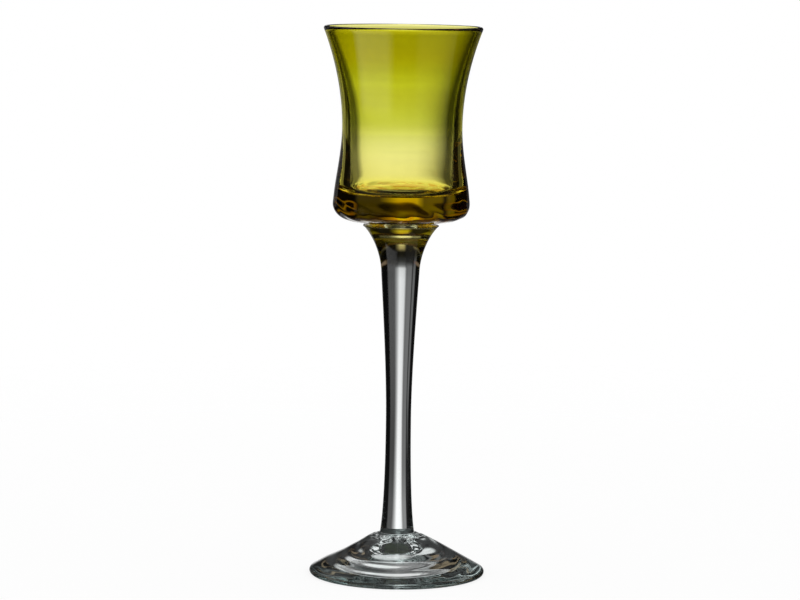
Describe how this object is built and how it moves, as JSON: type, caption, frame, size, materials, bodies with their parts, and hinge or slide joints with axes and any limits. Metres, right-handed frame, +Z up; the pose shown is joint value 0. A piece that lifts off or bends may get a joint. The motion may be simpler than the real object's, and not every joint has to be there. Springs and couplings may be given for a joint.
{
  "type": "cordial glass",
  "caption": "Stemmed cordial glass: a flared, waisted amber bowl with a heavy base, on a slim clear drawn stem and a clear cone foot.",
  "frame": {"origin": "middle of the face that the foot rests on", "axes": "+Z up along the stem, from the foot to the mouth of the bowl; the glass is round, so X and Y are alike"},
  "size_m": [0.0544, 0.0544, 0.17],
  "materials": {
    "amber_glass": "transparent olive-amber glass, fire polished",
    "clear_glass": "transparent colourless glass, fire polished"
  },
  "bodies": {
    "root": {"bowl": "amber_glass", "stem": "clear_glass", "foot": "clear_glass"}
  },
  "joints": []
}
